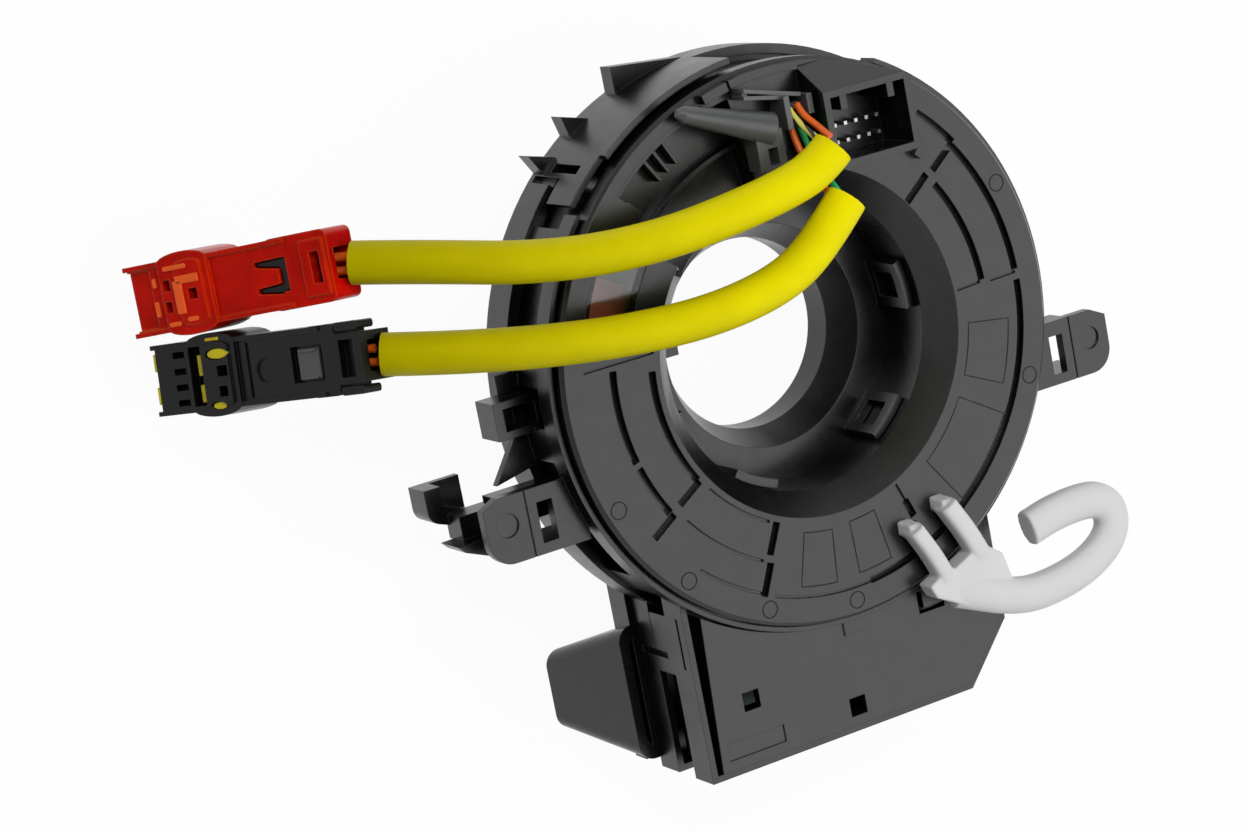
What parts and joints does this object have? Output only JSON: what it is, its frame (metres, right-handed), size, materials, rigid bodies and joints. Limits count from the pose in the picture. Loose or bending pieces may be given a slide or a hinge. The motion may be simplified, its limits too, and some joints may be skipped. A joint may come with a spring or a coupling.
{
  "type": "steering clock spring",
  "caption": "Rotary connector for a steering column: a turning disc on a fixed drum with a wound flat cable, an angle sensor box, two sleeved leads and a lock clip.",
  "frame": {"origin": "on the steering axis, in the middle of the rear bore lip", "axes": "+Z along the steering axis towards the driver, -Y towards the sensor box, +X to the right as the driver sees it"},
  "size_m": [0.1776, 0.1282, 0.059],
  "materials": {
    "board_green": "solder mask",
    "cable_film": "polyester film",
    "case_black": "moulded, satin",
    "clip_white": "moulded, satin",
    "contact_metal": "tinned",
    "gear_natural": "acetal",
    "guide_grey": "moulded, satin",
    "lens_clear": "clear plastic",
    "magnet_grey": "sintered",
    "marker_red": "moulded",
    "plug_black": "moulded, satin",
    "plug_red": "moulded, satin",
    "retainer_yellow": "moulded",
    "rotor_grey": "moulded, satin",
    "sleeve_yellow": "soft tube, satin",
    "wire_mixed": "insulation"
  },
  "bodies": {
    "stator": {"stator_case": "case_black", "rear_cover": "case_black", "sensor_cover": "case_black", "rear_connector_shell": "case_black", "rear_terminals": "contact_metal", "sensor_board": "board_green", "board_chips": "case_black", "flat_cable": "cable_film"},
    "rotor": {"rotor_disc": "rotor_grey", "rotor_sleeve": "rotor_grey", "drive_gear": "gear_natural", "cancel_cam": "gear_natural", "socket_pins": "contact_metal", "window_lens": "lens_clear", "lead_guide": "guide_grey", "lead_1_sleeve": "sleeve_yellow", "lead_1_wires": "wire_mixed", "lead_1_tail_wires": "wire_mixed", "red_plug": "plug_red", "red_plug_lock": "plug_red", "red_plug_retainer": "retainer_yellow", "lead_2_sleeve": "sleeve_yellow", "lead_2_wires": "wire_mixed", "lead_2_tail_wires": "wire_mixed", "black_plug": "plug_black", "black_plug_lock": "plug_black", "black_plug_retainer": "retainer_yellow"},
    "carrier": {"roller_carrier": "gear_natural", "neutral_marker": "marker_red"},
    "angle_gear_a": {"magnet_gear_a": "gear_natural", "magnet_a": "magnet_grey"},
    "angle_gear_b": {"magnet_gear_b": "gear_natural", "magnet_b": "magnet_grey"},
    "clip": {"lock_clip": "clip_white"},
    "roller_1": {"guide_roller_1": "gear_natural"},
    "roller_2": {"guide_roller_2": "gear_natural"},
    "roller_3": {"guide_roller_3": "gear_natural"},
    "roller_4": {"guide_roller_4": "gear_natural"},
    "roller_5": {"guide_roller_5": "gear_natural"},
    "roller_6": {"guide_roller_6": "gear_natural"}
  },
  "joints": [
    {"name": "rotor_spin", "type": "hinge", "parent": "stator", "child": "rotor", "pos_m": [0, 0, 0], "axis": [0, 0, 1], "range_deg": [-900, 900], "deforming": ["flat_cable"]},
    {"name": "carrier_spin", "type": "hinge", "parent": "stator", "child": "carrier", "pos_m": [0, 0, 0], "axis": [0, 0, 1], "range_deg": [-360.76, 360.76]},
    {"name": "roller_1_spin", "type": "hinge", "parent": "carrier", "child": "roller_1", "pos_m": [0.03732, 0.00658, 0.0165], "axis": [0, 0, 1], "range_deg": [-2519.34, 2519.34]},
    {"name": "roller_2_spin", "type": "hinge", "parent": "carrier", "child": "roller_2", "pos_m": [0.01296, 0.03561, 0.0165], "axis": [0, 0, 1], "range_deg": [-2519.34, 2519.34]},
    {"name": "roller_3_spin", "type": "hinge", "parent": "carrier", "child": "roller_3", "pos_m": [-0.02436, 0.02903, 0.0165], "axis": [0, 0, 1], "range_deg": [-2519.34, 2519.34]},
    {"name": "roller_4_spin", "type": "hinge", "parent": "carrier", "child": "roller_4", "pos_m": [-0.03732, -0.00658, 0.0165], "axis": [0, 0, 1], "range_deg": [-2519.34, 2519.34]},
    {"name": "roller_5_spin", "type": "hinge", "parent": "carrier", "child": "roller_5", "pos_m": [-0.01296, -0.03561, 0.0165], "axis": [0, 0, 1], "range_deg": [-2519.34, 2519.34]},
    {"name": "roller_6_spin", "type": "hinge", "parent": "carrier", "child": "roller_6", "pos_m": [0.02436, -0.02903, 0.0165], "axis": [0, 0, 1], "range_deg": [-2519.34, 2519.34]},
    {"name": "angle_gear_a_spin", "type": "hinge", "parent": "stator", "child": "angle_gear_a", "pos_m": [-0.01426, -0.03306, 0.006], "axis": [0, 0, 1], "range_deg": [-2701, 2701]},
    {"name": "angle_gear_b_spin", "type": "hinge", "parent": "stator", "child": "angle_gear_b", "pos_m": [0.01465, -0.03397, 0.006], "axis": [0, 0, 1], "range_deg": [-2431, 2431]},
    {"name": "lock_clip_pull", "type": "slide", "parent": "rotor", "child": "clip", "axis": [0, 0, 1], "range_m": [0, 0.03]}
  ],
  "couplings": [
    {"joint": "carrier_spin", "follows": "rotor_spin", "ratio": 0.39974},
    {"joint": "roller_1_spin", "follows": "rotor_spin", "ratio": -2.7982},
    {"joint": "roller_2_spin", "follows": "rotor_spin", "ratio": -2.7982},
    {"joint": "roller_3_spin", "follows": "rotor_spin", "ratio": -2.7982},
    {"joint": "roller_4_spin", "follows": "rotor_spin", "ratio": -2.7982},
    {"joint": "roller_5_spin", "follows": "rotor_spin", "ratio": -2.7982},
    {"joint": "roller_6_spin", "follows": "rotor_spin", "ratio": -2.7982},
    {"joint": "angle_gear_a_spin", "follows": "rotor_spin", "ratio": -3},
    {"joint": "angle_gear_b_spin", "follows": "rotor_spin", "ratio": -2.7}
  ]
}
